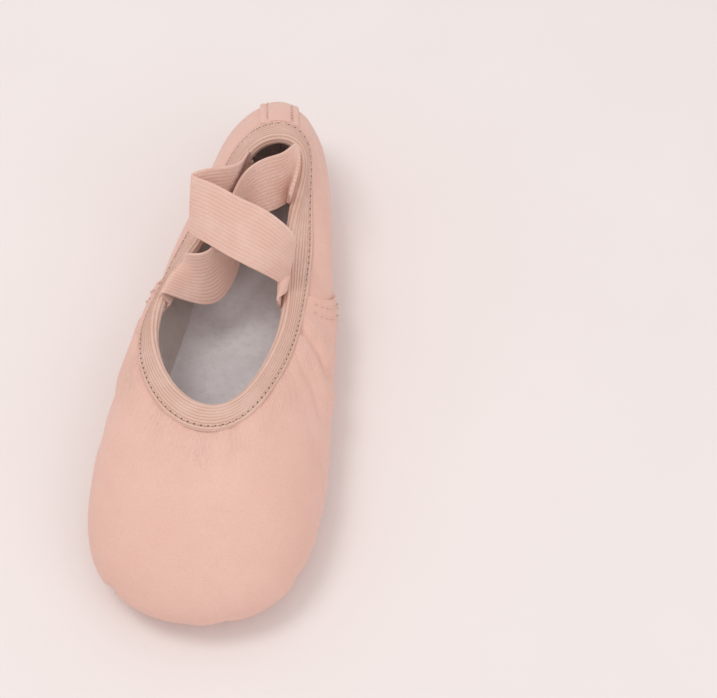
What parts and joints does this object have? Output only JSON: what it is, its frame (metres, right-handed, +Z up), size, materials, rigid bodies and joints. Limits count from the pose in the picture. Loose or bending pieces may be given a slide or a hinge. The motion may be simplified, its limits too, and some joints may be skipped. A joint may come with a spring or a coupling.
{
  "type": "ballet slipper",
  "caption": "Soft leather ballet slipper with a full suede sole, elastic bound opening and two crossing elastic instep straps.",
  "frame": {"origin": "on the ground under the middle of the slipper", "axes": "+Z up, toe towards -Y, heel towards +Y, +X to the wearer's left when the slipper is worn on either foot"},
  "size_m": [0.0726, 0.1889, 0.0563],
  "materials": {
    "leather": "soft full-grain kid leather, satin",
    "binding_elastic": "ribbed woven elastic",
    "strap_elastic": "ribbed woven elastic",
    "upper_thread": "fine polyester thread",
    "sole_thread": "waxed beige thread",
    "sole_suede": "brushed split suede",
    "sock_cloth": "brushed non-woven cloth",
    "lining_cloth": "plain woven cotton",
    "board": "pressed fibre sheet",
    "foam": "thin soft foam"
  },
  "bodies": {
    "forefoot": {"outsole_forepart": "sole_suede", "outsole_thread_forepart": "sole_thread", "insole_board_forepart": "board", "foam_pad_forepart": "foam", "sock_lining_forepart": "sock_cloth", "vamp": "leather", "vamp_lining": "lining_cloth"},
    "rearfoot": {"outsole_rear": "sole_suede", "outsole_thread_rear": "sole_thread", "insole_board_rear": "board", "foam_pad_rear": "foam", "sock_lining_rear": "sock_cloth", "quarter_right": "leather", "quarter_left": "leather", "quarter_lining_right": "lining_cloth", "quarter_lining_left": "lining_cloth", "heel_stiffener": "board", "backstay": "leather", "backstay_thread": "upper_thread", "side_seam_thread_right": "upper_thread", "side_seam_thread_left": "upper_thread", "topline_binding": "binding_elastic", "binding_thread": "upper_thread", "strap_a_rear_end": "strap_elastic", "strap_a_front_end": "strap_elastic", "strap_b_rear_end": "strap_elastic", "strap_b_front_end": "strap_elastic", "strap_end_thread": "upper_thread"},
    "strap_a": {"strap_a": "strap_elastic"},
    "strap_b": {"strap_b": "strap_elastic"}
  },
  "joints": [
    {"name": "ball_flex", "type": "hinge", "parent": "forefoot", "child": "rearfoot", "pos_m": [0, -0.032, 0.0054], "axis": [1, 0, 0], "range_deg": [0, 45], "stiffness_Nm_per_rad": 0.02, "deforming": ["vamp", "vamp_lining"]},
    {"name": "strap_a_swing", "type": "hinge", "parent": "rearfoot", "child": "strap_a", "pos_m": [-0.00518, 0.05355, 0.03577], "axis": [0.4927, -0.8411, -0.2231], "range_deg": [-15, 15], "stiffness_Nm_per_rad": 0.002, "deforming": ["strap_a"]},
    {"name": "strap_b_swing", "type": "hinge", "parent": "rearfoot", "child": "strap_b", "pos_m": [0.01263, 0.05624, 0.03973], "axis": [-0.6015, -0.768, -0.2198], "range_deg": [-12, 12], "stiffness_Nm_per_rad": 0.002, "deforming": ["strap_b"]}
  ]
}
